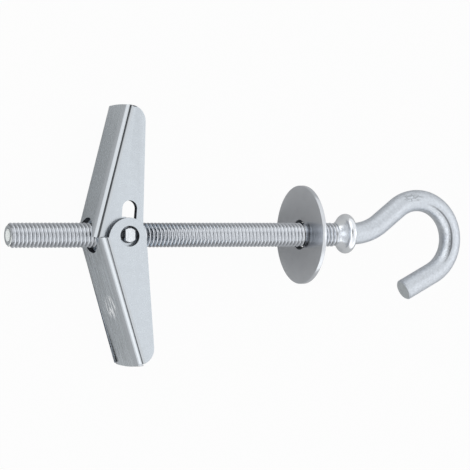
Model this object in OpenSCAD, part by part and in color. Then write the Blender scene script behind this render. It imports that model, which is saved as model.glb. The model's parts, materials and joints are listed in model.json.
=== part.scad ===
// Spring toggle bolt with an open hook, M5.
// The sizes are set along the bolt: x runs from the thread's tip to the hook, y across the
// bolt in the plane of the hook and the wings, z along the toggle's pivot.
// The finished assembly is then tipped to lie on its washer and on one wing, with z = 0
// as the surface under it.

/* [Hook bolt] */
// Outside diameter of the thread
thread_d = 4.86; // [4:0.02:6]
// Length from the thread's tip to the middle of the collar
collar_x = 73.77; // [60:0.01:110]
// Chamfer at the thread's tip
tip_chamfer = 0.5; // [0.2:0.1:1]
// Diameter of the collar over its crest
collar_d = 8.16; // [7:0.02:11]
// Radius of the collar's rounded crest
collar_crest_r = 1; // [0.4:0.1:1.2]
// Diameter at which the collar's sloping flanks meet its crest
collar_flank_d = 6.6; // [6.4:0.1:7.4]
// Angle between the collar's lead-in and the thread
collar_lead_angle = 37; // [25:1:60]
// Angle between the collar's back and the neck
collar_back_angle = 55; // [30:1:75]
// Distance that the collar and the neck sit off the thread's centre line
neck_offset = 0.2; // [0:0.01:0.3]
// Diameter of the round wire in the hook
wire_d = 4.43; // [3.6:0.01:4.8]
// Distance from the middle of the collar to the start of the neck's bend
neck_straight = 1.8; // [0.5:0.01:6]
// Centre-line radius of the bend in the neck
neck_bend_r = 10.75; // [6:0.05:20]
// Angle that the neck bends away from the bolt
neck_bend_angle = 37; // [20:0.1:60]
// Straight stretch between the neck's bend and the hook
neck_slope = 5.15; // [2:0.01:12]
// Centre-line radius of the hook
hook_r = 8.03; // [6:0.01:14]
// Angle that the hook turns through
hook_angle = 190.3; // [150:0.1:230]
// Straight stretch at the open end of the hook
hook_tail = 7.8; // [2:0.1:14]
// Chamfer round the cut end of the hook
hook_end_chamfer = 0.25; // [0.1:0.05:0.6]

/* [Washer] */
// Outside diameter of the loose washer
washer_d = 20; // [14:0.1:30]
// Thickness of the washer
washer_t = 0.85; // [0.4:0.05:1.6]
// Radial clearance between the washer and the thread
washer_clearance = 0.37; // [0.1:0.01:1]
// Place of the washer's face along the bolt
washer_x = 63.1; // [45:0.1:66]

/* [Trunnion nut] */
// Place of the toggle's pivot along the bolt
pivot_x = 22.87; // [15:0.01:35]
// Radial clearance between the nut's bore and the thread
bore_clearance = 0.07; // [0.02:0.01:0.1]
// Diameter of the nut's barrel
barrel_d = 6.7; // [6.4:0.1:6.8]
// Gap between each end of the barrel and the spring's coil
barrel_end_gap = 0.1; // [0.05:0.05:0.3]
// Diameter of the shoulders that carry the spring's coils
shoulder_d = 4.5; // [3.6:0.1:4.6]
// Running clearance between the shoulders and the inner wing
shoulder_clearance = 0.1; // [0.05:0.05:0.2]
// Diameter of the pivot stubs
stub_d = 2.9; // [2:0.1:3]
// Distance between the flats on a pivot stub
stub_flats = 2; // [1.4:0.1:2.6]
// Chamfer at the end of a pivot stub
stub_chamfer = 0.15; // [0.05:0.05:0.3]

/* [Sheet wings] */
// Thickness of the folded sheet
sheet_t = 1.2; // [0.8:0.1:1.4]
// Inside radius of the folds
fold_r = 0.6; // [0.1:0.1:0.8]
// Clearance on each side between the inner wing and the outer wing
nest_gap = 0.1; // [0.05:0.05:0.3]
// Gap between the ends of the two webs where they butt, wings open
butt_gap = 0.1; // [0.05:0.05:0.3]
// Distance that the butt lies below the bolt's centre line
butt_drop = 0.35; // [0:0.05:1]
// Radius of the notch in each web that clears the bolt
notch_r = 3.45; // [3:0.05:3.5]
// Radius of the rounded corner at each flange's tip
tip_corner_r = 3.1; // [1:0.05:3.2]
// Radius of the corners at the end of each web
web_corner_r = 0.6; // [0.2:0.1:1.5]

/* [Inner wing] */
// Length of the inner wing's flanges from the pivot
inner_flange_len = 25.2; // [18:0.1:40]
// Distance that the web's crowned end stands past the flanges
inner_crown = 0.25; // [0.1:0.05:1]
// Radius of the crown across the web's end
inner_crown_r = 60; // [20:1:200]
// Distance from the pivot to the outside of the web
inner_web_dist = 6.95; // [6.5:0.05:9]
// Angle by which the web leans to the hook
inner_web_lean = 15.2; // [8:0.1:22]
// Distance from the pivot to the flanges' free edge
inner_edge_dist = 3.22; // [3:0.01:5]
// Angle by which the free edge leans to the hook
inner_edge_lean = 1.6; // [0:0.1:5]
// Distance between the centres of the slot's round ends
slot_len = 5.2; // [4:0.1:8]
// Angle by which the slot leans to the hook
slot_lean = 4.8; // [0:0.1:10]
// Radial clearance between a pivot stub and the slot
slot_clearance = 0.1; // [0.05:0.01:0.2]

/* [Outer wing] */
// Length of the outer wing's flanges from their holes
outer_flange_len = 24.9; // [18:0.1:40]
// Distance that the web's crowned end stands past the flanges
outer_crown = 0.55; // [0.1:0.05:1]
// Radius of the crown across the web's end
outer_crown_r = 50; // [20:1:200]
// Distance from the holes to the outside of the web
outer_web_dist = 5.87; // [5.6:0.01:8]
// Angle by which the web leans to the hook
outer_web_lean = 17.3; // [8:0.1:22]
// Distance from the holes to the flanges' free edge
outer_edge_dist = 3.5; // [3.3:0.01:5]
// Angle by which the free edge leans to the hook
outer_edge_lean = 4.2; // [0:0.1:7]
// Diameter of the pivot holes
ear_hole_d = 4; // [3.8:0.1:4.6]
// Distance that the holes sit behind the pivot stubs, towards the tip
ear_play_x = 0.11; // [0:0.01:0.2]
// Distance that the holes sit below the pivot stubs
ear_play_y = 0.2; // [0:0.01:0.3]
// Radius of the ear's round end
ear_r = 3.6; // [3.4:0.05:4.5]
// Radius of the wider round that flares the ear towards the web
ear_flare_r = 4.4; // [4:0.05:5]

/* [Torsion spring] */
// Diameter of the spring wire
spring_wire_d = 0.5; // [0.3:0.05:0.5]
// Gap between the spring and what it bears on
spring_gap = 0.08; // [0.05:0.01:0.15]
// Height above the pivot at which the upper legs end
upper_leg = 12; // [8:0.5:18]
// Depth below the pivot at which the bridge crosses
lower_leg = 9; // [6:0.5:14]
// Radial play between the coils and the shoulders
coil_play = 0.15; // [0.1:0.05:0.2]
// Gap between each coil and the inner wing's flange
coil_end_gap = 0.05; // [0.03:0.01:0.08]
// Gap between the turns of a coil
coil_turn_gap = 0.05; // [0.03:0.01:0.08]
// Gap between each coil and the side of the thread
coil_thread_gap = 0.07; // [0.05:0.01:0.3]

/* [Hidden] */
$fn = 64;
// Points along each rounded corner of a wing's outline
arc_steps = 16;
// Points along a coil of the spring, and along each bend of its bridge
coil_steps = 28;
bend_steps = 5;
bridge_bend_r = 0.8;
// Longer than anything that is cut
reach = 200;

// The hook's straight lengths are this much thinner than its bends and run this far into them
splice = 0.05;
straight_r = wire_d / 2 - splice;
// The neck's wire starts this far inside the collar
neck_root = 1;
// The collar's flanks end this far inside the circle of its crest
flank_cut = 0.04;

// Across the pivot, from the middle outwards
coil_side = thread_d / 2 + coil_thread_gap;
barrel_half = coil_side - barrel_end_gap;
inner_half = coil_side + 2 * spring_wire_d + coil_turn_gap + coil_end_gap + sheet_t;
inner_w = 2 * inner_half;
outer_w = inner_w + 2 * (sheet_t + nest_gap);
shoulder_half = inner_half - sheet_t - shoulder_clearance;
stub_half = outer_w / 2;
fold_outside_r = fold_r + sheet_t;
// A flange's rounded corner leaves this much of the web beside it
tip_wall = 0.3;

// The hook's centre line, in the plane of the hook
neck_start = [collar_x + neck_straight, neck_offset];
neck_centre = neck_start + [0, neck_bend_r];
slope_start = neck_centre + neck_bend_r * [sin(neck_bend_angle), -cos(neck_bend_angle)];
slope_end = slope_start + neck_slope * [cos(neck_bend_angle), sin(neck_bend_angle)];
hook_centre = slope_end + hook_r * [sin(neck_bend_angle), -cos(neck_bend_angle)];
tail_turn = neck_bend_angle - hook_angle;
tail_start = hook_centre + hook_r * [-sin(tail_turn), cos(tail_turn)];

// The outer wing turns on its own holes, which hang a little off the stubs
ear_at = [pivot_x - ear_play_x, -ear_play_y, 0];
outer_butt = butt_drop + butt_gap - ear_play_y;
ear_centre = [outer_edge_dist - ear_r, 0];
flare_from = -95;
flare_centre = ear_centre - (ear_flare_r - ear_r) * [cos(flare_from), sin(flare_from)];

// The part lies on the washer's rim and on the outer wing's fold
function unit(v) = v / norm(v);
function web_x(y, dist, lean) = y * tan(lean) - dist / cos(lean);
fold_line_x = fold_outside_r / cos(outer_web_lean);
rim_foot = [washer_x, 0, -washer_d / 2];
fold_foot = ear_at + [
    web_x(outer_butt, outer_web_dist, outer_web_lean) + fold_line_x,
    -outer_butt,
    -outer_w / 2
];
tip_foot = ear_at + [
    web_x(outer_flange_len, outer_web_dist, outer_web_lean) + fold_line_x,
    -outer_flange_len,
    -outer_w / 2
];
ground_up = unit(cross(fold_foot - rim_foot, tip_foot - rim_foot));
rest_roll = atan2(ground_up.y, ground_up.z);
rest_pitch = -atan2(ground_up.x, norm([ground_up.y, ground_up.z]));
function rolled(p) = [
    p.x,
    p.y * cos(rest_roll) - p.z * sin(rest_roll),
    p.y * sin(rest_roll) + p.z * cos(rest_roll)
];
function pitched(p) = [
    p.x * cos(rest_pitch) + p.z * sin(rest_pitch),
    p.y,
    p.z * cos(rest_pitch) - p.x * sin(rest_pitch)
];
function tipped(p) = pitched(rolled(p));
hook_far = tipped([hook_centre.x + hook_r + wire_d / 2, hook_centre.y, 0]);
thread_tip = tipped([0, 0, 0]);
inner_tip = tipped([pivot_x, inner_flange_len + inner_crown, 0]);
outer_tip = tipped(ear_at + [0, -outer_flange_len - outer_crown, 0]);
rest_shift = [
    -(hook_far.x + thread_tip.x) / 2,
    -(inner_tip.y + outer_tip.y) / 2,
    -tipped(rim_foot).z
];

module as_it_lies() {
    translate(rest_shift) rotate([rest_roll, rest_pitch, 0]) children();
}

// ---- Hook bolt: one piece of wire with a rolled thread, an upset collar and a bent hook ----

module along_x() {
    rotate([0, 90, 0]) children();
}

// A straight length of the hook's wire, from a point in the hook's plane
module wire(start, heading, length) {
    translate([start.x, start.y, 0]) rotate([0, 0, heading]) along_x()
        translate([0, 0, -splice]) cylinder(h = length + 2 * splice, r = straight_r);
}

// A bend of the hook's wire about a centre, from an angle, through an angle
module wire_bend(centre, bend_r, from, through) {
    translate([centre.x, centre.y, 0]) rotate([0, 0, from])
        rotate_extrude(angle = through) translate([bend_r, 0]) circle(d = wire_d);
}

// The thread is drawn as its outside cylinder
module shank() {
    along_x() {
        cylinder(h = tip_chamfer, d1 = thread_d - 2 * tip_chamfer, d2 = thread_d);
        translate([0, 0, tip_chamfer]) cylinder(h = collar_x - tip_chamfer, d = thread_d);
    }
}

// A bead with a round crest, a long lead-in on the thread's side and a steeper back
module collar() {
    crest_centre = collar_d / 2 - collar_crest_r;
    flank_r = collar_flank_d / 2;
    flank_x = sqrt((collar_crest_r - flank_cut) ^ 2 - (flank_r - crest_centre) ^ 2);
    lead_foot = flank_x + (flank_r - wire_d / 2) / tan(collar_lead_angle);
    back_foot = flank_x + (flank_r - wire_d / 2) / tan(collar_back_angle);
    translate([collar_x, neck_offset, 0]) along_x() rotate_extrude() {
        translate([crest_centre, 0]) circle(r = collar_crest_r);
        polygon([
            [0, -lead_foot],
            [wire_d / 2, -lead_foot],
            [flank_r, -flank_x],
            [flank_r, flank_x],
            [wire_d / 2, back_foot],
            [0, back_foot]
        ]);
    }
}

// The hook's last straight length, with the edge of its cut end taken off
module tail() {
    translate([tail_start.x, tail_start.y, 0]) rotate([0, 0, tail_turn]) along_x()
        rotate_extrude() polygon([
            [0, -splice],
            [straight_r, -splice],
            [straight_r, hook_tail - hook_end_chamfer],
            [straight_r - hook_end_chamfer, hook_tail],
            [0, hook_tail]
        ]);
}

module hook() {
    wire([collar_x - neck_root, neck_offset], 0, neck_root + neck_straight);
    wire_bend(neck_centre, neck_bend_r, -90, neck_bend_angle);
    wire(slope_start, neck_bend_angle, neck_slope);
    wire_bend(hook_centre, hook_r, tail_turn + 90, hook_angle);
    tail();
}

module hook_bolt() {
    color("silver") as_it_lies() {
        shank();
        collar();
        hook();
    }
}

// ---- Washer: a plain stamped disc, loose on the thread ----

module washer() {
    color("darkgray") as_it_lies() translate([washer_x, 0, 0]) along_x() difference() {
        cylinder(h = washer_t, d = washer_d);
        cylinder(h = 3 * washer_t, r = thread_d / 2 + washer_clearance, center = true);
    }
}

// ---- Trunnion nut: a barrel across the bolt, with shoulders for the spring and flat stubs ----

module stub() {
    intersection() {
        union() {
            cylinder(h = stub_half - stub_chamfer, d = stub_d);
            translate([0, 0, stub_half - stub_chamfer])
                cylinder(h = stub_chamfer, d1 = stub_d, d2 = stub_d - 2 * stub_chamfer);
        }
        translate([-stub_flats / 2, -stub_d, 0]) cube([stub_flats, 2 * stub_d, stub_half]);
    }
}

module trunnion_nut() {
    color("slategray") as_it_lies() translate([pivot_x, 0, 0]) difference() {
        union() {
            cylinder(h = 2 * barrel_half, d = barrel_d, center = true);
            cylinder(h = 2 * shoulder_half, d = shoulder_d, center = true);
            for (side = [0, 1]) mirror([0, 0, side]) stub();
        }
        along_x() cylinder(h = 2 * barrel_d, r = thread_d / 2 + bore_clearance, center = true);
    }
}

// ---- Sheet wings: each one is a blank folded to a tapered channel, open towards the hook ----
// A wing is drawn about its pivot, pointing along +y, with its web on the -x side.

// A box section that is closed on the -x side and has rounded corners there
module round_backed(width, depth, corner_r) {
    translate([corner_r, -width / 2]) square([depth - corner_r, width]);
    translate([0, corner_r - width / 2]) square([2 * corner_r, width - 2 * corner_r]);
    for (side = [-1, 1]) translate([corner_r, side * (width / 2 - corner_r)])
        circle(r = corner_r);
}

// The folded sheet's section, run along the web's slope
module folded_channel(width, dist, lean) {
    rotate([0, 0, -lean]) rotate([90, 0, 0])
        linear_extrude(height = reach, center = true) translate([-dist, 0]) difference() {
            round_backed(width, reach / 2, fold_outside_r);
            translate([sheet_t, 0]) round_backed(width - 2 * sheet_t, reach / 2, fold_r);
        }
}

// Points along an arc, from one angle to another
function arc(centre, r, from, to) = [for (i = [0 : arc_steps])
    let (angle = from + (to - from) * i / arc_steps)
    centre + r * [cos(angle), sin(angle)]];

// The wing seen along the pivot: web edge, flange end, rounded tip and free edge. The round
// end at the pivot follows, given as points that run from the free edge back to the butt.
module wing_side(dist, lean, edge_dist, edge_lean, flange_len, crown, butt, round_end) {
    end_depth = flange_len * tan(edge_lean) + edge_dist / cos(edge_lean)
        - web_x(flange_len, dist, lean);
    widest_r = (end_depth - tip_wall) / (tan(edge_lean) + 1 / cos(edge_lean));
    corner_r = min(tip_corner_r, widest_r);
    tip_y = flange_len - corner_r;
    tip_x = tip_y * tan(edge_lean) + (edge_dist - corner_r) / cos(edge_lean);
    web_top = flange_len + crown;
    web_depth = sheet_t / cos(lean);
    polygon(concat(
        [
            [web_x(butt, dist, lean), butt],
            [web_x(web_top, dist, lean), web_top],
            [web_x(web_top, dist, lean) + web_depth, web_top],
            [web_x(flange_len, dist, lean) + web_depth, flange_len]
        ],
        arc([tip_x, tip_y], corner_r, 90, -edge_lean),
        round_end
    ));
}

// The wing seen along the bolt: parallel sides and a slightly crowned end
module wing_front(width, web_top, crown_r) {
    corner_x = width / 2 - web_corner_r;
    corner_y = web_top - web_corner_r;
    intersection() {
        union() {
            translate([-width / 2, -reach / 2]) square([width, reach / 2 + corner_y]);
            translate([-corner_x, 0]) square([2 * corner_x, web_top]);
            for (side = [-1, 1]) translate([side * corner_x, corner_y]) circle(r = web_corner_r);
        }
        translate([0, web_top - crown_r]) circle(r = crown_r, $fn = 256);
    }
}

module along_z() {
    linear_extrude(height = reach / 2, center = true) children();
}

module front_on() {
    along_x() linear_extrude(height = reach, center = true) children();
}

// A slot for a pivot stub, from the pivot to its far round end
module slot(slot_r) {
    rotate([0, 0, -slot_lean]) {
        cylinder(h = inner_w, r = slot_r);
        translate([-slot_r, 0, 0]) cube([2 * slot_r, slot_len, inner_w]);
        translate([0, slot_len, 0]) cylinder(h = inner_w, r = slot_r);
    }
}

module inner_wing() {
    lobe = arc([0, 0], inner_edge_dist, -inner_edge_lean, asin(butt_drop / inner_edge_dist) - 180);
    slot_r = stub_d / 2 + slot_clearance;
    web_top = inner_flange_len + inner_crown;
    slot_end_x = slot_len * sin(slot_lean);
    slot_end_y = slot_len * cos(slot_lean);
    color("lightgray") as_it_lies() translate([pivot_x, 0, 0]) difference() {
        intersection() {
            folded_channel(inner_w, inner_web_dist, inner_web_lean);
            along_z() wing_side(inner_web_dist, inner_web_lean, inner_edge_dist,
                inner_edge_lean, inner_flange_len, inner_crown, -butt_drop, lobe);
            front_on() wing_front(inner_w, web_top, inner_crown_r);
        }
        along_x() cylinder(h = reach, r = notch_r, center = true);
        slot(slot_r);
        // the far flange's slot is open to the free edge, where the nut goes in
        mirror([0, 0, 1]) {
            slot(slot_r);
            translate([slot_end_x, slot_end_y - slot_r, 0]) cube([reach, 2 * slot_r, inner_w]);
        }
    }
}

module outer_wing() {
    ear = arc(ear_centre, ear_r, -outer_edge_lean, flare_from);
    flare = arc(flare_centre, ear_flare_r, flare_from,
        asin((flare_centre.y - outer_butt) / ear_flare_r) - 180);
    web_top = outer_flange_len + outer_crown;
    color("gainsboro") as_it_lies() translate(ear_at) mirror([0, 1, 0]) difference() {
        intersection() {
            folded_channel(outer_w, outer_web_dist, outer_web_lean);
            along_z() wing_side(outer_web_dist, outer_web_lean, outer_edge_dist,
                outer_edge_lean, outer_flange_len, outer_crown, outer_butt, concat(ear, flare));
            front_on() wing_front(outer_w, web_top, outer_crown_r);
        }
        translate([0, -ear_play_y, 0]) along_x() cylinder(h = reach, r = notch_r, center = true);
        cylinder(h = 2 * outer_w, d = ear_hole_d, center = true);
    }
}

// ---- Torsion spring: one wire, a coil on each shoulder, two free legs and a bridge ----

coil_r = shoulder_d / 2 + coil_play + spring_wire_d / 2;
coil_in = coil_side + spring_wire_d / 2;
coil_out = coil_in + spring_wire_d + coil_turn_gap;
wire_off_web = spring_wire_d / 2 + spring_gap;
upper_x = web_x(upper_leg, inner_web_dist - sheet_t - wire_off_web, inner_web_lean);
lower_x = web_x(lower_leg - ear_play_y, outer_web_dist - sheet_t - wire_off_web, outer_web_lean)
    - ear_play_x;
upper_start = atan2(upper_leg, upper_x) + acos(coil_r / norm([upper_x, upper_leg]));
lower_end = 720 + atan2(-lower_leg, lower_x) - acos(coil_r / norm([lower_x, lower_leg]));

// Half of the wire, from a free leg's end to the bridge's middle
function half_wire() = concat(
    [[upper_x, upper_leg, coil_in]],
    [for (i = [0 : coil_steps]) let (share = i / coil_steps,
        angle = upper_start + (lower_end - upper_start) * share)
        [coil_r * cos(angle), coil_r * sin(angle), coil_out + (coil_in - coil_out) * share]],
    [for (i = [0 : bend_steps]) let (angle = 90 * i / bend_steps)
        [lower_x, -lower_leg + bridge_bend_r * (1 - sin(angle)),
            coil_in - bridge_bend_r * (1 - cos(angle))]]
);
function mirrored(points) = [for (i = [len(points) - 1 : -1 : 0])
    [points[i].x, points[i].y, -points[i].z]];
function tangents(path) = [for (i = [0 : len(path) - 1])
    unit(path[min(i + 1, len(path) - 1)] - path[max(i - 1, 0)])];
function square_to(v, t) = unit(v - (v * t) * t);

// The ring's first spoke at each point, carried along the wire without twisting
function spokes(t, first) = [for (i = 0, s = square_to(first, t[0]); i < len(t);
    i = i + 1, s = i < len(t) ? square_to(s, t[i]) : s) s];

module swept_wire(path, wire_r, sides) {
    t = tangents(path);
    spoke = spokes(t, [1, 0, 0]);
    last = len(path) - 1;
    points = [for (i = [0 : last]) for (k = [0 : sides - 1]) let (angle = 360 * k / sides)
        path[i] + wire_r * (cos(angle) * spoke[i] + sin(angle) * cross(t[i], spoke[i]))];
    faces = concat(
        [[for (k = [0 : sides - 1]) k]],
        [for (i = [0 : last - 1]) for (k = [0 : sides - 1]) let (next = (k + 1) % sides)
            [i * sides + k, (i + 1) * sides + k, (i + 1) * sides + next, i * sides + next]],
        [[for (k = [sides - 1 : -1 : 0]) last * sides + k]]
    );
    polyhedron(points, faces);
}

module torsion_spring() {
    half = half_wire();
    color("dimgray") as_it_lies() translate([pivot_x, 0, 0])
        swept_wire(concat(half, mirrored(half)), spring_wire_d / 2, 8);
}

hook_bolt();
washer();
trunnion_nut();
inner_wing();
outer_wing();
torsion_spring();
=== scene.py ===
# Spring toggle bolt with an open hook, as it lies on a pale table.
import json
from math import atan2, cos, pi, radians, sin

import bmesh
import bpy
from mathutils import Matrix, Vector


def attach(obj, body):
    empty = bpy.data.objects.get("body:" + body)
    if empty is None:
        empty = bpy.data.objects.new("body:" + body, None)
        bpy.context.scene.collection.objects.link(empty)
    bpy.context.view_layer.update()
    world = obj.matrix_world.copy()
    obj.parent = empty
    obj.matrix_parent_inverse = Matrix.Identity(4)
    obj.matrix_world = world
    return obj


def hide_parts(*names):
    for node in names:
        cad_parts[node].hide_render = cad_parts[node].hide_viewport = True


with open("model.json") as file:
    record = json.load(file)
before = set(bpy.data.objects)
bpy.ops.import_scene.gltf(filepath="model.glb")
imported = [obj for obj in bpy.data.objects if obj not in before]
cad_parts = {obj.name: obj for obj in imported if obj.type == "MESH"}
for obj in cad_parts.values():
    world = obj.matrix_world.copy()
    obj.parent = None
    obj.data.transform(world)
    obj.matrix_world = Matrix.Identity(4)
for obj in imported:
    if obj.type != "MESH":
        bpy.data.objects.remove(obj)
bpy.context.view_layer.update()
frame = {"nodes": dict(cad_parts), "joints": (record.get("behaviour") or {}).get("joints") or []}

# ---- Where the bolt lies ----
# The bolt's own axes, read from the joints: x runs along the thread from the tip to the hook,
# y across the bolt towards the inner wing, and z along the pivot that the wings turn on.
joints = {joint["name"]: joint for joint in frame["joints"]}
along = Vector(joints["toggle_travel"]["axis"])
pivot_axis = -Vector(joints["inner_wing_fold"]["axis"])
across = pivot_axis.cross(along)
pivot = Vector(joints["inner_wing_fold"]["pos_m"])
mm = 0.001
pivot_x = 22.87 * mm
tip = pivot - pivot_x * along


def from_bolt(place, x_axis, y_axis, z_axis):
    """The matrix that takes these axes, at a place in the bolt's frame, to the model's frame."""
    bolt = Matrix.Translation(tip) @ Matrix((along, across, pivot_axis)).transposed().to_4x4()
    own = Matrix((x_axis, y_axis, z_axis)).transposed().to_4x4()
    return bolt @ Matrix.Translation(place) @ own


X, Y, Z = Vector((1, 0, 0)), Vector((0, 1, 0)), Vector((0, 0, 1))
bolt_frame = from_bolt(Vector(), X, Y, Z)

# ---- Camera ----
# A long lens above the bolt, turned towards the thread's tip, so that the ends of the wings
# and the face of the washer show.
lens_mm = 170.4
sensor_mm = 36
camera_tilt = radians(26.673)
camera_roll = radians(-0.113)
camera_place = Vector((-0.151585, 0.000366, 0.398233))
right = Vector((cos(camera_tilt), 0, sin(camera_tilt)))
back = Vector((-sin(camera_tilt), 0, cos(camera_tilt)))
roll = Matrix.Rotation(camera_roll, 3, "Z")
camera = bpy.data.objects.new("camera", bpy.data.cameras.new("camera"))
camera.data.lens = lens_mm
camera.data.sensor_width = sensor_mm
camera.data.clip_start = 10 * mm
camera.matrix_world = from_bolt(camera_place, roll @ right, roll @ Y, roll @ back)
bpy.context.scene.collection.objects.link(camera)
bpy.context.scene.camera = camera

# ---- Table and light ----
# A pale table under one soft lamp, in a plain bright room with white and dark cards standing
# round it, which give the plating something to mirror.
scene = bpy.context.scene
scene.view_settings.view_transform = "Standard"


def new_material(name):
    """A node material with a Principled shader, its nodes and its links."""
    material = bpy.data.materials.new(name)
    material.use_nodes = True
    nodes = material.node_tree.nodes
    return material, nodes, material.node_tree.links, nodes["Principled BSDF"]


def math_node(nodes, links, operation, first, second):
    """A sum on two values, each a number or another node's output."""
    node = nodes.new("ShaderNodeMath")
    node.operation = operation
    for socket, value in zip(node.inputs, (first, second)):
        if isinstance(value, (int, float)):
            socket.default_value = value
        else:
            links.new(value, socket)
    return node.outputs[0]


def vector_node(nodes, links, operation, vector, other=(0, 0, 0)):
    """A vector node on another node's output and a fixed vector."""
    node = nodes.new("ShaderNodeVectorMath")
    node.operation = operation
    links.new(vector, node.inputs[0])
    node.inputs[1].default_value = other
    return node


def fade_node(nodes, links, value, gone, full, interpolation="LINEAR"):
    """A node that goes from 0 where the value is at gone to 1 where it is at full."""
    node = nodes.new("ShaderNodeMapRange")
    node.interpolation_type = interpolation
    links.new(value, node.inputs["Value"])
    node.inputs["From Min"].default_value = gone
    node.inputs["From Max"].default_value = full
    return node


table_size = 3.0
table_grey = 0.44
camera_white = 0.96
glossy_white = 0.05
table_mesh = bmesh.new()
bmesh.ops.create_grid(table_mesh, x_segments=1, y_segments=1, size=table_size / 2)
table_data = bpy.data.meshes.new("table")
table_mesh.to_mesh(table_data)
table_mesh.free()
table = bpy.data.objects.new("table", table_data)
scene.collection.objects.link(table)
material, nodes, links, shader = new_material("table_white")
shader.inputs["Base Color"].default_value = (table_grey, table_grey, table_grey, 1)
shader.inputs["Roughness"].default_value = 0.9
shader.inputs["Specular IOR Level"].default_value = 0
path = nodes.new("ShaderNodeLightPath")
seen = math_node(nodes, links, "MULTIPLY", path.outputs["Is Camera Ray"], camera_white)
mirrored = math_node(nodes, links, "MAXIMUM", path.outputs["Is Glossy Ray"],
                     path.outputs["Is Transmission Ray"])
mirrored = math_node(nodes, links, "MULTIPLY", mirrored, glossy_white)
white = nodes.new("ShaderNodeEmission")
mix = nodes.new("ShaderNodeMixShader")
links.new(math_node(nodes, links, "ADD", seen, mirrored), mix.inputs[0])
links.new(shader.outputs[0], mix.inputs[1])
links.new(white.outputs[0], mix.inputs[2])
links.new(mix.outputs[0], nodes["Material Output"].inputs[0])
table_data.materials.append(material)

world = bpy.data.worlds.new("room")
world.use_nodes = True
scene.world = world
nodes, links = world.node_tree.nodes, world.node_tree.links
room = nodes["Background"]
direction = nodes.new("ShaderNodeTexCoord").outputs["Generated"]


def towards(vector, inner, outer):
    """1 inside the inner angle about a direction in the bolt's frame, 0 outside the outer one."""
    middle = bolt_frame.to_3x3() @ Vector(vector).normalized()
    dot = vector_node(nodes, links, "DOT_PRODUCT", direction, middle)
    return fade_node(nodes, links, dot.outputs["Value"], cos(radians(outer)),
                     cos(radians(inner)), "SMOOTHSTEP").outputs[0]


# Each card has its middle, the angles inside and outside which it is full and gone, and how far
# it raises or lowers the room's light.
room_level = 0.88
room_cards = (((-0.72, 0.33, 0.62), 12, 30, 0.18),
              ((-0.50, 0.75, 0.45), 10, 30, 0.5),
              ((-0.68, -0.31, 0.66), 8, 18, 0.4),
              ((-0.50, -0.75, 0.40), 10, 30, 0.4),
              ((0.80, 0, 0.60), 8, 22, 1.1),
              ((0.50, 0, 0.87), 6, 16, 0.08),
              ((0.45, -0.85, 0.25), 10, 35, 0.4),
              ((-0.33, 0.21, 0.92), 8, 17, -0.9),
              ((-0.28, -0.20, 0.94), 5, 10, -0.85),
              ((-0.40, 0.03, 0.91), 5, 12, -0.8),
              ((-0.84, 0, 0.54), 6, 14, 0.5),
              ((-1, 0, 0), 12, 26, -0.7))
level = room_level
for middle, inner, outer, change in room_cards:
    card = math_node(nodes, links, "MULTIPLY", towards(middle, inner, outer), change)
    card = math_node(nodes, links, "ADD", card, 1)
    level = math_node(nodes, links, "MULTIPLY", card, level)
path = nodes.new("ShaderNodeLightPath")
plain = nodes.new("ShaderNodeBackground")
for light in (room, plain):
    light.inputs["Color"].default_value = (1, 1, 1, 1)
links.new(level, room.inputs["Strength"])
mix = nodes.new("ShaderNodeMixShader")
links.new(path.outputs["Is Camera Ray"], mix.inputs[0])
links.new(room.outputs[0], mix.inputs[1])
links.new(plain.outputs[0], mix.inputs[2])
links.new(mix.outputs[0], nodes["World Output"].inputs[0])

lamp_toward = Vector((-0.35, 0.1, 0.93)).normalized()
lamp_distance = 0.7
lamp_side = Y.cross(lamp_toward).normalized()
lamp = bpy.data.lights.new("top_lamp", "AREA")
lamp.size = 0.5
lamp.energy = 1.0
lamp_body = bpy.data.objects.new("top_lamp", lamp)
lamp_body.matrix_world = from_bolt(lamp_distance * lamp_toward, lamp_side,
                                   lamp_toward.cross(lamp_side), lamp_toward)
lamp_body.visible_glossy = False
scene.collection.objects.link(lamp_body)

# ---- Threaded rod ----
# Steel wire with a cold-rolled M5 thread along its whole straight length, right-handed, with
# rounded crests. It is cut square and lightly chamfered at the tip, and zinc plated.


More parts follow.
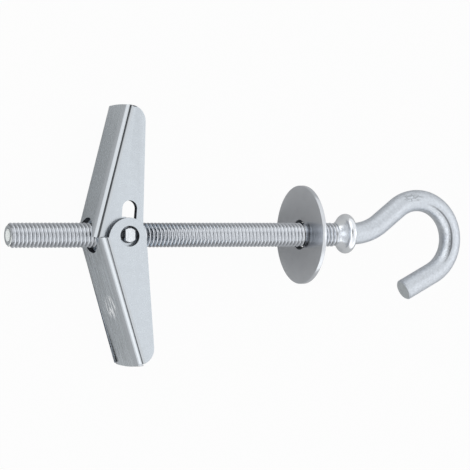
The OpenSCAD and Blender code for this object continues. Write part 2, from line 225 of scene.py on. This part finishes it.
def zinc_group():
    """Bright zinc plating: cloudy patches, fine pits and grain, from a position in millimetres."""
    group = bpy.data.node_groups.new("zinc_plating", "ShaderNodeTree")
    for name, kind in (("Place", "NodeSocketVector"), ("Zinc", "NodeSocketColor"),
                       ("Cloud Size", "NodeSocketFloat"), ("Cloud Depth", "NodeSocketFloat"),
                       ("Grain Size", "NodeSocketFloat"), ("Gloss Low", "NodeSocketFloat"),
                       ("Gloss High", "NodeSocketFloat")):
        group.interface.new_socket(name, in_out="INPUT", socket_type=kind)
    for name, kind in (("Color", "NodeSocketColor"), ("Roughness", "NodeSocketFloat"),
                       ("Height", "NodeSocketFloat")):
        group.interface.new_socket(name, in_out="OUTPUT", socket_type=kind)
    nodes, links = group.nodes, group.links
    given = nodes.new("NodeGroupInput").outputs
    result = nodes.new("NodeGroupOutput").inputs

    def noise(size, detail, roughness):
        node = nodes.new("ShaderNodeTexNoise")
        links.new(given["Place"], node.inputs["Vector"])
        links.new(math_node(nodes, links, "DIVIDE", 1, size), node.inputs["Scale"])
        node.inputs["Detail"].default_value = detail
        node.inputs["Roughness"].default_value = roughness
        return node.outputs["Fac"]

    speck_share = 0.6
    gloss_from, gloss_to = 0.35, 0.65
    clouds = noise(given["Cloud Size"], 4, 0.6)
    grain = noise(given["Grain Size"], 3, 0.7)
    specks = math_node(nodes, links, "SUBTRACT", grain, 0.5)
    specks = math_node(nodes, links, "MULTIPLY", specks, speck_share)
    spread = math_node(nodes, links, "SUBTRACT", clouds, 0.5)
    spread = math_node(nodes, links, "ADD", spread, specks)
    spread = math_node(nodes, links, "MULTIPLY", spread, given["Cloud Depth"])
    spread = math_node(nodes, links, "ADD", spread, 1)
    tint = vector_node(nodes, links, "SCALE", given["Zinc"])
    links.new(spread, tint.inputs["Scale"])
    links.new(tint.outputs[0], result["Color"])
    both = math_node(nodes, links, "ADD", clouds, grain)
    both = math_node(nodes, links, "MULTIPLY", both, 0.5)
    gloss = fade_node(nodes, links, both, gloss_from, gloss_to)
    links.new(given["Gloss Low"], gloss.inputs["To Min"])
    links.new(given["Gloss High"], gloss.inputs["To Max"])
    links.new(gloss.outputs[0], result["Roughness"])
    links.new(grain, result["Height"])
    return group


zinc_plating = zinc_group()


def plated(name, zinc, cloud_size, cloud_depth, grain_size, gloss, bump_mm, stretch=(1, 1, 1),
           turn=0):
    """A plated metal in the bolt's axes, in millimetres, with its pattern drawn out by stretch
    and turned about z. Gloss is the lowest and highest roughness."""
    material, nodes, links, shader = new_material(name)
    place = nodes.new("ShaderNodeMapping")
    place.vector_type = "TEXTURE"
    place.inputs["Location"].default_value = tip
    turned = bolt_frame @ Matrix.Rotation(turn, 4, "Z")
    place.inputs["Rotation"].default_value = turned.to_euler()
    place.inputs["Scale"].default_value = [mm * s for s in stretch]
    links.new(nodes.new("ShaderNodeTexCoord").outputs["Object"], place.inputs["Vector"])
    coat = nodes.new("ShaderNodeGroup")
    coat.node_tree = zinc_plating
    links.new(place.outputs[0], coat.inputs["Place"])
    coat.inputs["Zinc"].default_value = (*zinc, 1)
    coat.inputs["Cloud Size"].default_value = cloud_size
    coat.inputs["Cloud Depth"].default_value = cloud_depth
    coat.inputs["Grain Size"].default_value = grain_size
    coat.inputs["Gloss Low"].default_value = gloss[0]
    coat.inputs["Gloss High"].default_value = gloss[1]
    links.new(coat.outputs["Color"], shader.inputs["Base Color"])
    links.new(coat.outputs["Roughness"], shader.inputs["Roughness"])
    bump = nodes.new("ShaderNodeBump")
    bump.inputs["Distance"].default_value = bump_mm * mm
    links.new(coat.outputs["Height"], bump.inputs["Height"])
    links.new(bump.outputs[0], shader.inputs["Normal"])
    shader.inputs["Metallic"].default_value = 1
    return material


def dim(material, factor):
    """Multiplies a plated metal's colour by a factor that changes over its surface."""
    nodes, links = material.node_tree.nodes, material.node_tree.links
    tint = vector_node(nodes, links, "SCALE", nodes["Group"].outputs["Color"])
    links.new(factor, tint.inputs["Scale"])
    links.new(tint.outputs[0], nodes["Principled BSDF"].inputs["Base Color"])


def from_axis(place):
    """How far a place in the bolt's frame is from the bolt's axis."""
    return Vector((place.y, place.z)).length


def finish_piece(bm, name, body, material, replaced, smooth=radians(35)):
    """Puts a mesh drawn in the bolt's frame in millimetres on its body, in place of CAD nodes."""
    bmesh.ops.transform(bm, matrix=bolt_frame @ Matrix.Scale(mm, 4), verts=bm.verts)
    data = bpy.data.meshes.new(name)
    bm.to_mesh(data)
    bm.free()
    data.materials.append(material)
    data.shade_smooth()
    data.set_sharp_from_angle(angle=smooth)
    piece = bpy.data.objects.new(name, data)
    scene.collection.objects.link(piece)
    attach(piece, body)
    if replaced:
        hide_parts(*replaced)
    return piece


thread_r = 2.43
thread_root_r = 1.94
thread_pitch = 0.8
thread_start = 0.28
tip_chamfer = 0.5
wire_r = 2.215
collar_x = 73.77
lead_foot = 2.375
turn_steps = 40
root_flat = 0.1
root_shade = 0.46
crest_from, crest_to = 0.40, 0.50
crest_round = 0.04
collar_overlap = 0.1
rod_end = collar_x - lead_foot + collar_overlap
run_out = 0.9
dish_r = 1.2
dish_foot_r = 0.3
dish_depth = 1.3

# One turn of the thread's outline, swept round the axis and doubled until it is long enough
bm = bmesh.new()
profile = ((0, thread_root_r), (root_flat, thread_root_r),
           (crest_from - crest_round, thread_r - crest_round), (crest_from, thread_r),
           (crest_to, thread_r), (crest_to + crest_round, thread_r - crest_round),
           (thread_pitch, thread_root_r))
start = thread_start - 3 * thread_pitch
verts = [bm.verts.new((start + x, 0, r)) for x, r in profile]
edges = [bm.edges.new(pair) for pair in zip(verts, verts[1:])]
bmesh.ops.spin(bm, geom=verts + edges, cent=(0, 0, 0), axis=X, angle=2 * pi,
               dvec=X * thread_pitch / turn_steps, steps=turn_steps)
turns = 1
spare_turns = 4
while turns < rod_end / thread_pitch + spare_turns:
    copied = bmesh.ops.duplicate(bm, geom=bm.verts[:] + bm.edges[:] + bm.faces[:])["geom"]
    bmesh.ops.translate(bm, vec=X * thread_pitch * turns,
                        verts=[g for g in copied if isinstance(g, bmesh.types.BMVert)])
    turns *= 2
bmesh.ops.remove_doubles(bm, verts=bm.verts, dist=1e-4)

# Both ends are cut square, and the chamfer and the run-out shape the last crests
for place, side in ((0, -1), (rod_end, 1)):
    cut = bmesh.ops.bisect_plane(bm, geom=bm.verts[:] + bm.edges[:] + bm.faces[:], dist=1e-6,
                                 plane_co=X * place, plane_no=X * side, clear_outer=True)
    rim = [e for e in cut["geom_cut"] if isinstance(e, bmesh.types.BMEdge)]
    bmesh.ops.edgeloop_fill(bm, edges=rim)
for vert in bm.verts:
    r = from_axis(vert.co)
    limit = thread_r - tip_chamfer + max(vert.co.x, 0)
    fade = min(max((vert.co.x - rod_end + run_out) / run_out, 0), 1)
    wanted = min(r + fade * (wire_r - r), limit)
    vert.co.y *= wanted / r
    vert.co.z *= wanted / r

# Rolling leaves the tip's face cupped
end = max(bm.faces, key=lambda face: -face.calc_center_median().x)
for wanted, depth in ((dish_r, 0), (dish_foot_r, dish_depth)):
    end = bmesh.ops.extrude_discrete_faces(bm, faces=[end])["faces"][0]
    for vert in end.verts:
        r = from_axis(vert.co)
        vert.co = (depth, vert.co.y * wanted / r, vert.co.z * wanted / r)
bmesh.ops.recalc_face_normals(bm, faces=bm.faces)
rolled_zinc = plated("rolled_zinc", (0.85, 0.89, 0.95), 0.9, 0.25, 0.08, (0.14, 0.22), 0.003)
nodes, links = rolled_zinc.node_tree.nodes, rolled_zinc.node_tree.links
# Painted shade: the colour darkens towards the thread's roots, down to root_shade, standing in for
# the shade in the grooves
reach = vector_node(nodes, links, "MULTIPLY", nodes["Mapping"].outputs[0], (0, 1, 1))
reach = vector_node(nodes, links, "LENGTH", reach.outputs[0])
painted_root_shade = fade_node(nodes, links, reach.outputs["Value"], thread_root_r + root_flat, thread_r,
                  "SMOOTHSTEP")
painted_root_shade.inputs["To Min"].default_value = root_shade
dim(rolled_zinc, painted_root_shade.outputs[0])
cropped_zinc = plated("cropped_zinc", (0.62, 0.66, 0.68), 0.5, 0.6, 0.12, (0.3, 0.45), 0.02)
# Painted highlight: the cupped end's walls are near white and mostly not metallic, standing in for
# the bright highlight inside the dish
dish_highlight_zinc = plated("dish_highlight_zinc", (0.94, 0.98, 0.97), 0.5, 0.1, 0.12, (0.1, 0.2), 0.005)
dish_highlight_zinc.node_tree.nodes["Principled BSDF"].inputs["Metallic"].default_value = 0.2
rod = finish_piece(bm, "threaded_rod", "bolt", rolled_zinc, (), radians(60))
rod.data.materials.append(cropped_zinc)
rod.data.materials.append(dish_highlight_zinc)
dish_margin = 0.2
slanting, square_on = 0.3, 0.8
# The cupped end's slanted walls take the painted highlight, and its square-on faces take the
# cropped finish
for face in rod.data.polygons:
    middle = bolt_frame.inverted() @ face.center / mm
    if middle.x < dish_depth + dish_margin and from_axis(middle) < thread_root_r + root_flat:
        facing = -face.normal.dot(along)
        if facing > slanting:
            face.material_index = 1 if facing >= square_on else 2

# ---- Collar and hook ----
# The same wire, drawn a little thinner past the thread. The collar is upset between dies, and
# the hook is bent round a mandrel, which leaves its inner side smooth. The end is cropped.
neck_offset = 0.2
neck_straight = 1.8
neck_bend_r = 10.75
neck_bend = radians(37)
neck_slope = 5.15
hook_r = 8.03
hook_turn = radians(190.3)
hook_tail = 7.8
hook_chamfer = 0.25
wire_start = 0.4
ring_steps, neck_steps, hook_steps = 56, 20, 96
rub_from, rub_to, rub_fade = radians(-48), radians(82), radians(30)
rub_edge, rub_width = 0.28, 0.14
rub_polish = 0.88
painted_line_depth = 3.2


def scratch(material, at, reach, cells, colour, depth):
    """Marks a patch of a plated metal, round a place in the bolt's frame, with crossing lines.
    Reach is the patch's half-size, and cells is how many cells of lines it takes in."""
    patch_edge, line_edge = (1.2, 0.8), (0.13, 0.04)
    nodes, links = material.node_tree.nodes, material.node_tree.links
    shader = nodes["Principled BSDF"]
    place = nodes.new("ShaderNodeMapping")
    place.vector_type = "TEXTURE"
    place.inputs["Location"].default_value = bolt_frame @ (mm * Vector(at))
    place.inputs["Rotation"].default_value = bolt_frame.to_euler()
    place.inputs["Scale"].default_value = mm * Vector(reach)
    links.new(nodes["Texture Coordinate"].outputs["Object"], place.inputs["Vector"])
    away = vector_node(nodes, links, "LENGTH", place.outputs[0]).outputs["Value"]
    net = nodes.new("ShaderNodeTexVoronoi")
    net.feature = "DISTANCE_TO_EDGE"
    net.inputs["Scale"].default_value = 1
    drawn = vector_node(nodes, links, "MULTIPLY", place.outputs[0], cells)
    links.new(drawn.outputs[0], net.inputs["Vector"])
    patch = fade_node(nodes, links, away, *patch_edge)
    lines = fade_node(nodes, links, net.outputs["Distance"], *line_edge)
    marked = math_node(nodes, links, "MULTIPLY", patch.outputs[0], lines.outputs[0])
    marked = math_node(nodes, links, "MULTIPLY", marked, depth)
    mix = nodes.new("ShaderNodeMix")
    mix.data_type = "RGBA"
    links.new(marked, mix.inputs["Factor"])
    links.new(shader.inputs["Base Color"].links[0].from_socket, mix.inputs[6])
    mix.inputs[7].default_value = (*colour, 1)
    links.new(mix.outputs[2], shader.inputs["Base Color"])
    links.new(math_node(nodes, links, "SUBTRACT", 1, marked), shader.inputs["Metallic"])


def stretch_ring(bm, ring, heading, length):
    """Runs the wire's open end straight on and returns its new ring of edges."""
    grown = bmesh.ops.extrude_edge_only(bm, edges=ring)["geom"]
    ring = [g for g in grown if isinstance(g, bmesh.types.BMEdge)]
    verts = list({v for e in ring for v in e.verts})
    bmesh.ops.translate(bm, verts=verts, vec=length * heading)
    return ring


def bend_ring(bm, ring, centre, angle, steps):
    """Bends the wire's open end about a centre and returns its new ring of edges."""
    verts = list({v for e in ring for v in e.verts})
    spun = bmesh.ops.spin(bm, geom=verts + ring, cent=centre, axis=Z, angle=angle, steps=steps)
    return [g for g in spun["geom_last"] if isinstance(g, bmesh.types.BMEdge)]


def heading_at(angle):
    return Vector((cos(angle), sin(angle), 0))


bm = bmesh.new()
start = Vector((collar_x + wire_start, neck_offset, 0))
turned = Matrix.Translation(start) @ Matrix.Rotation(pi / 2, 4, "Y")
bmesh.ops.create_circle(bm, segments=ring_steps, radius=wire_r, matrix=turned)
ring = bm.edges[:]
bmesh.ops.edgeloop_fill(bm, edges=ring)
ring = stretch_ring(bm, ring, X, neck_straight - wire_start)
neck = Vector((collar_x + neck_straight, neck_offset, 0))
ring = bend_ring(bm, ring, neck + neck_bend_r * Y, neck_bend, neck_steps)
slope = heading_at(neck_bend)
slope_start = neck + neck_bend_r * Vector((sin(neck_bend), 1 - cos(neck_bend), 0))
ring = stretch_ring(bm, ring, slope, neck_slope)
hook_centre = slope_start + neck_slope * slope + hook_r * heading_at(neck_bend - pi / 2)
ring = bend_ring(bm, ring, hook_centre, -hook_turn, hook_steps)
tail = heading_at(neck_bend - hook_turn)
ring = stretch_ring(bm, ring, tail, hook_tail - hook_chamfer)
ring = stretch_ring(bm, ring, tail, hook_chamfer)
verts = list({v for e in ring for v in e.verts})
middle = sum((v.co for v in verts), Vector()) / len(verts)
shrink = 1 - hook_chamfer / wire_r
bmesh.ops.scale(bm, vec=(shrink, shrink, shrink), space=Matrix.Translation(-middle), verts=verts)
bmesh.ops.edgeloop_fill(bm, edges=ring)
bmesh.ops.recalc_face_normals(bm, faces=bm.faces)

# How far the mandrel has rubbed the wire smooth, and a painted dark line along the rubbed part's
# edge, standing in for a dark reflection
for name in ("rubbed", "painted_line"):
    bm.verts.layers.float.new(name)
rubbed, painted_line = (bm.verts.layers.float[name] for name in ("rubbed", "painted_line"))
for vert in bm.verts:
    arm = vert.co - hook_centre
    arm.z = 0
    facing = -vert.normal.dot(arm.normalized())
    turned = atan2(arm.y, arm.x)
    ends = min(max(min(turned - rub_from, rub_to - turned) / rub_fade, 0), 1)
    side = min(max((facing - rub_edge) / rub_width, 0), 1)
    vert[rubbed] = ends * side
    vert[painted_line] = ends * side * (1 - side)
drawn_zinc = plated("drawn_zinc", (0.655, 0.695, 0.745), 0.5, 0.55, 0.24, (0.38, 0.54), 0.05)
nodes, links = drawn_zinc.node_tree.nodes, drawn_zinc.node_tree.links
rub, painted_line_node = nodes.new("ShaderNodeAttribute"), nodes.new("ShaderNodeAttribute")
rub.attribute_name, painted_line_node.attribute_name = "rubbed", "painted_line"
polish = math_node(nodes, links, "MULTIPLY", rub.outputs["Fac"], -rub_polish)
polish = math_node(nodes, links, "ADD", polish, 1)
polish = math_node(nodes, links, "MULTIPLY", polish, nodes["Group"].outputs["Roughness"])
links.new(polish, nodes["Principled BSDF"].inputs["Roughness"])
# Painted dark line: the colour darkens along the rubbed part's edge, standing in for a dark
# reflection
shade = math_node(nodes, links, "MULTIPLY", painted_line_node.outputs["Fac"], -painted_line_depth)
dim(drawn_zinc, math_node(nodes, links, "ADD", shade, 1))
scratch(drawn_zinc, (88.7, 7.6, 2.0), (2.4, 0.8, 1.2), (1.6, 1.6, 1.6),
        (0.2, 0.22, 0.24), 0.6)
hook = finish_piece(bm, "hook", "bolt", drawn_zinc, ("hook_bolt",))
hook.data.materials.append(cropped_zinc)
for face in hook.data.polygons:
    if len(face.vertices) == ring_steps:
        face.material_index = 1

collar_r = 4.08
crest_r = 1.0
crest_centre = collar_r - crest_r
crest_foot = radians(13)
crest_steps = 16
round_steps = 96
back_foot = 1.695
core_r = 0.5
bm = bmesh.new()
crest = [(-crest_r * cos(a), crest_centre + crest_r * sin(a))
         for a in (crest_foot + (pi - 2 * crest_foot) * i / crest_steps
                   for i in range(crest_steps + 1))]
profile = [(-lead_foot, core_r), (-lead_foot, wire_r), *crest,
           (back_foot, wire_r), (back_foot, core_r)]
verts = [bm.verts.new((collar_x + x, 0, r)) for x, r in profile]
edges = [bm.edges.new(pair) for pair in zip(verts, verts[1:] + verts[:1])]
bmesh.ops.spin(bm, geom=verts + edges, cent=(0, 0, 0), axis=X, angle=2 * pi,
               steps=round_steps, use_merge=True)
bmesh.ops.translate(bm, vec=neck_offset * Y, verts=bm.verts)
bmesh.ops.recalc_face_normals(bm, faces=bm.faces)
upset_zinc = plated("upset_zinc", (0.92, 0.95, 0.99), 0.9, 0.2, 0.15, (0.12, 0.2), 0.01)
finish_piece(bm, "collar", "bolt", upset_zinc, ())

# ---- Washer ----
# A disc stamped from thin sheet and dull plated, with a slightly rounded edge and a torn,
# tapering hole. It hangs loose on the thread in front of the collar.
washer_x = 63.1
washer_t = 0.85
washer_r = 10.0
washer_hole_r = thread_r + 0.37
punched_r = thread_r + 0.03
rolled_over = 0.25
edge_ease = 0.1
bm = bmesh.new()
corners = ((rolled_over / 2, washer_hole_r), (0, washer_hole_r + rolled_over), (0, washer_r),
           (washer_t, washer_r), (washer_t, punched_r))
verts = [bm.verts.new((washer_x + x, 0, r)) for x, r in corners]
edges = [bm.edges.new(pair) for pair in zip(verts, verts[1:] + verts[:1])]
bmesh.ops.spin(bm, geom=verts + edges, cent=(0, 0, 0), axis=X, angle=2 * pi,
               steps=round_steps, use_merge=True)
bmesh.ops.recalc_face_normals(bm, faces=bm.faces)
rims = [e for e in bm.edges if e.calc_face_angle(0) > 1]
bmesh.ops.bevel(bm, geom=rims, offset=edge_ease, offset_type="OFFSET", affect="EDGES",
                segments=3, profile=0.5, material=-1)
dull_zinc = plated("dull_zinc", (0.63, 0.65, 0.68), 2.5, 0.18, 0.2, (0.13, 0.22), 0.006)
# Painted shade: the hole's wall and its rolled-over lip are near black, standing in for the shade
# inside the hole
hole_shade_zinc = plated("hole_shade_zinc", (0.1, 0.11, 0.12), 0.5, 0.3, 0.1, (0.5, 0.7), 0.01)
rim_zinc = plated("rim_zinc", (0.74, 0.77, 0.81), 0.9, 0.2, 0.15, (0.15, 0.25), 0.01)
washer = finish_piece(bm, "washer_disc", "washer", dull_zinc, ("washer",))
washer.data.materials.append(hole_shade_zinc)
washer.data.materials.append(rim_zinc)
for face in washer.data.polygons:
    r = from_axis(bolt_frame.inverted() @ face.center / mm)
    if r < washer_hole_r + 0.9 * rolled_over:
        face.material_index = 1
    elif r > washer_r - 0.9 * edge_ease:
        face.material_index = 2

# ---- Trunnion nut and wings ----
# The nut is turned from bar, with flats on its stubs. Each wing is blanked from thin strip,
# pierced and folded to a channel, then plated, so its edges are all slightly rounded.
sharp_edge = radians(35)


def eased_copy(node, name, body, material, width):
    """A merged copy of a CAD node with its sharp edges eased."""
    source = frame["nodes"][node]
    bm = bmesh.new()
    bm.from_mesh(source.data)
    bmesh.ops.remove_doubles(bm, verts=bm.verts, dist=1e-6)
    bmesh.ops.dissolve_limit(bm, angle_limit=radians(0.5), verts=bm.verts, edges=bm.edges)
    bmesh.ops.transform(bm, matrix=(bolt_frame @ Matrix.Scale(mm, 4)).inverted(), verts=bm.verts)
    piece = finish_piece(bm, name, body, material, (node,))
    bevel = piece.modifiers.new("eased_edges", "BEVEL")
    bevel.width = width * mm
    bevel.segments = 2
    bevel.limit_method = "ANGLE"
    bevel.angle_limit = sharp_edge
    bevel.use_clamp_overlap = True
    bevel.harden_normals = True
    return piece


# The wings' sheared edges get a near-black colour: partly their dull cut finish, partly painted
# shade
def finish_sheet(piece, lean, fold_material, shaded_edge_material, web_material):
    """Gives a wing's folds, sheared edges and web their own finish, going by how faces turn."""
    for material in (fold_material, shaded_edge_material, web_material):
        piece.data.materials.append(material)
    length = bolt_frame.to_3x3() @ Vector((sin(lean), cos(lean), 0))
    side = bolt_frame.to_3x3() @ Vector((cos(lean), -sin(lean), 0))
    flat, square = 0.999, 0.03
    for face in piece.data.polygons:
        if abs(face.normal.dot(side)) > flat:
            face.material_index = 3
        elif abs(face.normal.dot(pivot_axis)) < flat:
            face.material_index = 1 if abs(face.normal.dot(length)) < square else 2


upper_lean, lower_lean = radians(15.2), radians(180 - 17.3)
turned_zinc = plated("turned_zinc", (0.78, 0.82, 0.86), 0.3, 0.6, 0.1, (0.2, 0.4), 0.02,
                     (1, 5, 1))
sheet_zinc = plated("sheet_zinc", (0.64, 0.69, 0.74), 1.2, 0.12, 0.15, (0.2, 0.3), 0.002)
fold_zinc = plated("fold_zinc", (0.66, 0.70, 0.74), 1.2, 0.08, 0.15, (0.09, 0.16), 0.001)
# Near-black sheared edges: partly the dull cut finish, partly painted shade along the edges and in
# the gaps beside them
sheared_and_shaded_zinc = plated("sheared_and_shaded_zinc", (0.07, 0.075, 0.085), 0.5, 0.3, 0.08, (0.4, 0.55), 0.01)
upper_web = plated("upper_web_zinc", (0.66, 0.71, 0.75), 0.6, 0.16, 0.15, (0.2, 0.32), 0.003,
                   (1, 8, 1), -upper_lean)
lower_web = plated("lower_web_zinc", (0.73, 0.78, 0.82), 0.5, 0.8, 0.15, (0.2, 0.32), 0.004,
                   (1, 16, 1), -lower_lean)
scratch(lower_web, (20.9, -13.9, 1.0), (1.5, 2.4, 2.2), (1.0, 0.2, 2.1), (0.9, 0.92, 0.94), 1)
nut_ease, sheet_ease = 0.05, 0.1
eased_copy("trunnion_nut", "nut", "nut", turned_zinc, nut_ease)
upper = eased_copy("inner_wing", "upper_wing", "inner_wing", sheet_zinc,
                   sheet_ease)
lower = eased_copy("outer_wing", "lower_wing", "outer_wing", sheet_zinc,
                   sheet_ease)
finish_sheet(upper, upper_lean, fold_zinc, sheared_and_shaded_zinc, upper_web)
finish_sheet(lower, lower_lean, fold_zinc, sheared_and_shaded_zinc, lower_web)

# ---- Torsion spring ----
# Drawn spring wire, hidden between the wings: two coils on the nut's shoulders, a pair of legs
# along the inner wing's web and a bridge across the outer wing's. It is left dark and oily.
# The coils stay on the nut, and the legs and the bridge turn with their wings.
spring_steel = plated("spring_wire", (0.4, 0.4, 0.41), 0.5, 0.3, 0.05, (0.3, 0.45), 0.003)
source = frame["nodes"]["torsion_spring"]
coil_reach = 3.2
for name, body, side, replaced in (("opening_spring", "nut", 0, ("torsion_spring",)),
                                   ("spring_legs", "inner_wing", 1, ()),
                                   ("spring_bridge", "outer_wing", -1, ())):
    bm = bmesh.new()
    bm.from_mesh(source.data)
    bmesh.ops.remove_doubles(bm, verts=bm.verts, dist=1e-7)
    bmesh.ops.transform(bm, matrix=(bolt_frame @ Matrix.Scale(mm, 4)).inverted(), verts=bm.verts)
    others = []
    for face in bm.faces:
        arms = [Vector((v.co.x - pivot_x / mm, v.co.y)) for v in face.verts]
        arm = max(arms, key=lambda arm: arm.length)
        reaches = 0 if arm.length < coil_reach else 1 if arm.y > 0 else -1
        if reaches != side:
            others.append(face)
    bmesh.ops.delete(bm, geom=others, context="FACES")
    bmesh.ops.edgeloop_fill(bm, edges=[edge for edge in bm.edges if edge.is_boundary])
    bmesh.ops.recalc_face_normals(bm, faces=bm.faces)
    finish_piece(bm, name, body, spring_steel, replaced, radians(60))
